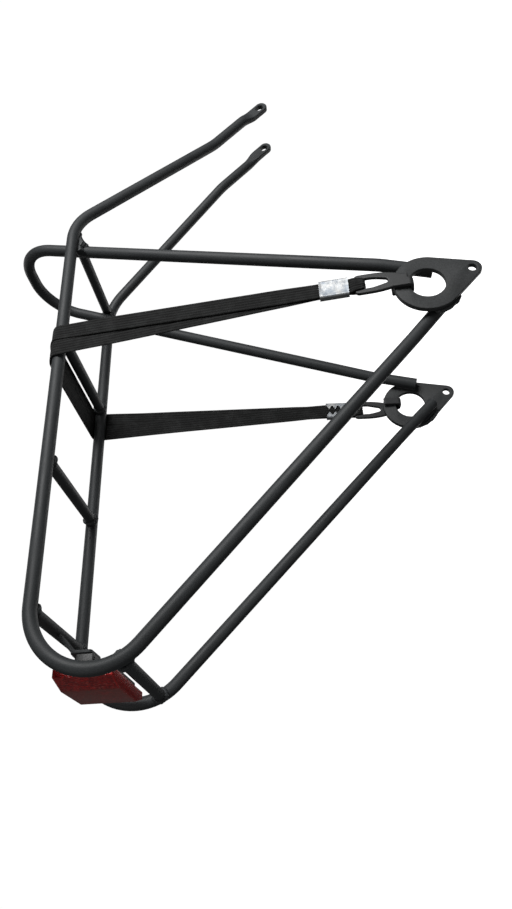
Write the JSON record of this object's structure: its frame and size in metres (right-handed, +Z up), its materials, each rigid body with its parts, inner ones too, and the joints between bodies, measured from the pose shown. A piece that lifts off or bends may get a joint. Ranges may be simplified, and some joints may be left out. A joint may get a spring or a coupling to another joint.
{
  "type": "bicycle rear rack",
  "caption": "Welded tube rear rack with front hoop, dropout plates, elastic luggage strap on hooks and a red rear reflector.",
  "frame": {"origin": "midway between the two small mounting holes of the dropout plates", "axes": "+X towards the front of the bicycle, +Y towards its left side, +Z up"},
  "size_m": [0.5791, 0.177, 0.3918],
  "materials": {
    "frame": "satin black powder coat",
    "plate": "satin black powder coat on flat steel",
    "hook": "satin black coated steel",
    "webbing": "ribbed woven elastic",
    "zinc": "bright zinc plated",
    "fastener": "black oxide",
    "lens": "clear dark red, prismatic inside",
    "housing": "fine matt moulding"
  },
  "bodies": {
    "frame": {"right_side_tube": "frame", "left_side_tube": "frame", "front_hoop": "frame", "front_cross_tube": "frame", "strap_cross_tube": "frame", "middle_cross_tube": "frame", "rear_cross_tube": "frame", "lower_rear_cross_tube": "frame", "right_dropout_plate": "plate", "left_dropout_plate": "plate", "elastic_strap": "webbing", "reflector_bracket": "frame", "reflector_housing": "housing", "reflector_lens": "lens", "reflector_screw": "fastener", "reflector_washer": "fastener"},
    "right_strap_end": {"right_hook": "hook", "right_ferrule": "zinc", "right_strap_turn": "webbing"},
    "left_strap_end": {"left_hook": "hook", "left_ferrule": "zinc", "left_strap_turn": "webbing"}
  },
  "joints": [
    {"name": "right_strap_stretch", "type": "slide", "parent": "frame", "child": "right_strap_end", "axis": [0, -0.0902, -0.9959], "range_m": [0, 0.012], "stiffness_N_per_m": 800, "springref_m": -0.04, "deforming": ["elastic_strap"]},
    {"name": "left_strap_stretch", "type": "slide", "parent": "frame", "child": "left_strap_end", "axis": [0, 0.0902, -0.9959], "range_m": [0, 0.012], "stiffness_N_per_m": 800, "springref_m": -0.04, "deforming": ["elastic_strap"]}
  ]
}
